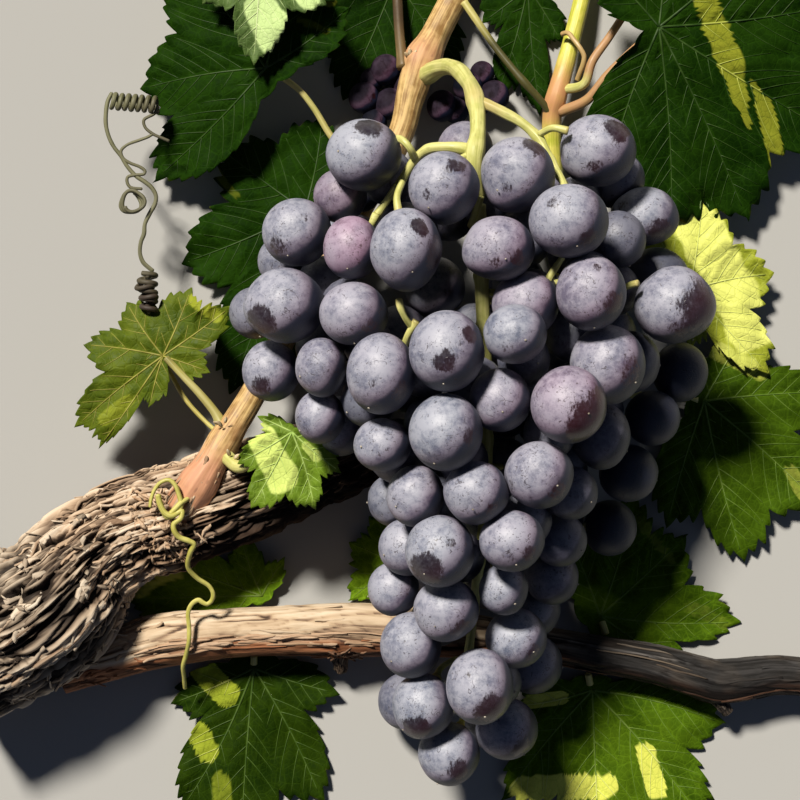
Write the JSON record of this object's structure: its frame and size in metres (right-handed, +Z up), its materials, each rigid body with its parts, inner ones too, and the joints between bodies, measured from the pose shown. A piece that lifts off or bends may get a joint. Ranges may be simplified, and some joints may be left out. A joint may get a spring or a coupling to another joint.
{
  "type": "cut grapevine branch",
  "caption": "Cut grapevine branch lying on its back: shaggy old arm, woody cane, leafy shoots, tendrils and one large ripe bunch of dark grapes.",
  "frame": {"origin": "middle of the bounding box's underside, on the floor the branch lies on", "axes": "+X to the right of the branch as it lies, +Y the way its shoots grow, +Z up, away from the floor"},
  "size_m": [0.2968, 0.3156, 0.0981],
  "materials": {
    "bark": "rough, shaggy, fissured",
    "cane": "rough, peeling in strips",
    "shoot": "satin, ridged lengthwise",
    "green_stem": "satin",
    "red_stalk": "satin",
    "berries": "waxy bloom over a glossy skin",
    "small_berries": "waxy",
    "leaf_dark": "satin, with pale veins",
    "leaf_light": "satin, with pale veins",
    "leaf_olive": "satin, with yellow veins",
    "leaf_young": "soft matte",
    "tendril": "satin"
  },
  "bodies": {
    "root": {"bottom_left_leaf": "leaf_dark", "bottom_left_stalk": "green_stem", "bottom_right_leaf": "leaf_light", "bottom_right_stalk": "green_stem", "cane_stub": "cane", "centre_crown": "berries", "crown_leaf": "leaf_dark", "fruiting_shoot": "shoot", "inner_leaf": "leaf_dark", "inner_left_leaf": "leaf_dark", "left_back_leaf": "leaf_dark", "left_back_stalk": "green_stem", "left_crown": "berries", "left_flank": "berries", "left_leaf": "leaf_olive", "left_lower": "berries", "left_shoulder": "berries", "left_stalk": "green_stem", "left_wing_stem": "green_stem", "lower_cane": "cane", "lower_middle": "berries", "lower_right_leaf": "leaf_dark", "lower_right_stalk": "green_stem", "lower_tendril": "tendril", "middle": "berries", "old_arm": "bark", "peduncle": "green_stem", "rachis": "green_stem", "rear_left": "berries", "rear_right": "berries", "rear_waist": "berries", "red_stalk": "red_stalk", "right_bright_leaf": "leaf_light", "right_bright_stalk": "green_stem", "right_flank": "berries", "right_leaf": "leaf_dark", "right_lower": "berries", "right_shoulder": "berries", "right_stalk": "green_stem", "right_wing_stem": "green_stem", "second_shoot": "shoot", "side_stalk": "green_stem", "small_cluster": "small_berries", "tail": "berries", "thin_shoot": "shoot", "top_leaf": "leaf_dark", "top_left_leaf": "leaf_light", "top_left_stalk": "green_stem", "upper_left_leaf": "leaf_dark", "upper_left_stalk": "green_stem", "upper_right_leaf": "leaf_dark", "upper_right_stalk": "green_stem", "upper_tendril": "tendril", "waist": "berries", "young_leaf": "leaf_young", "young_stalk": "green_stem"}
  },
  "joints": []
}
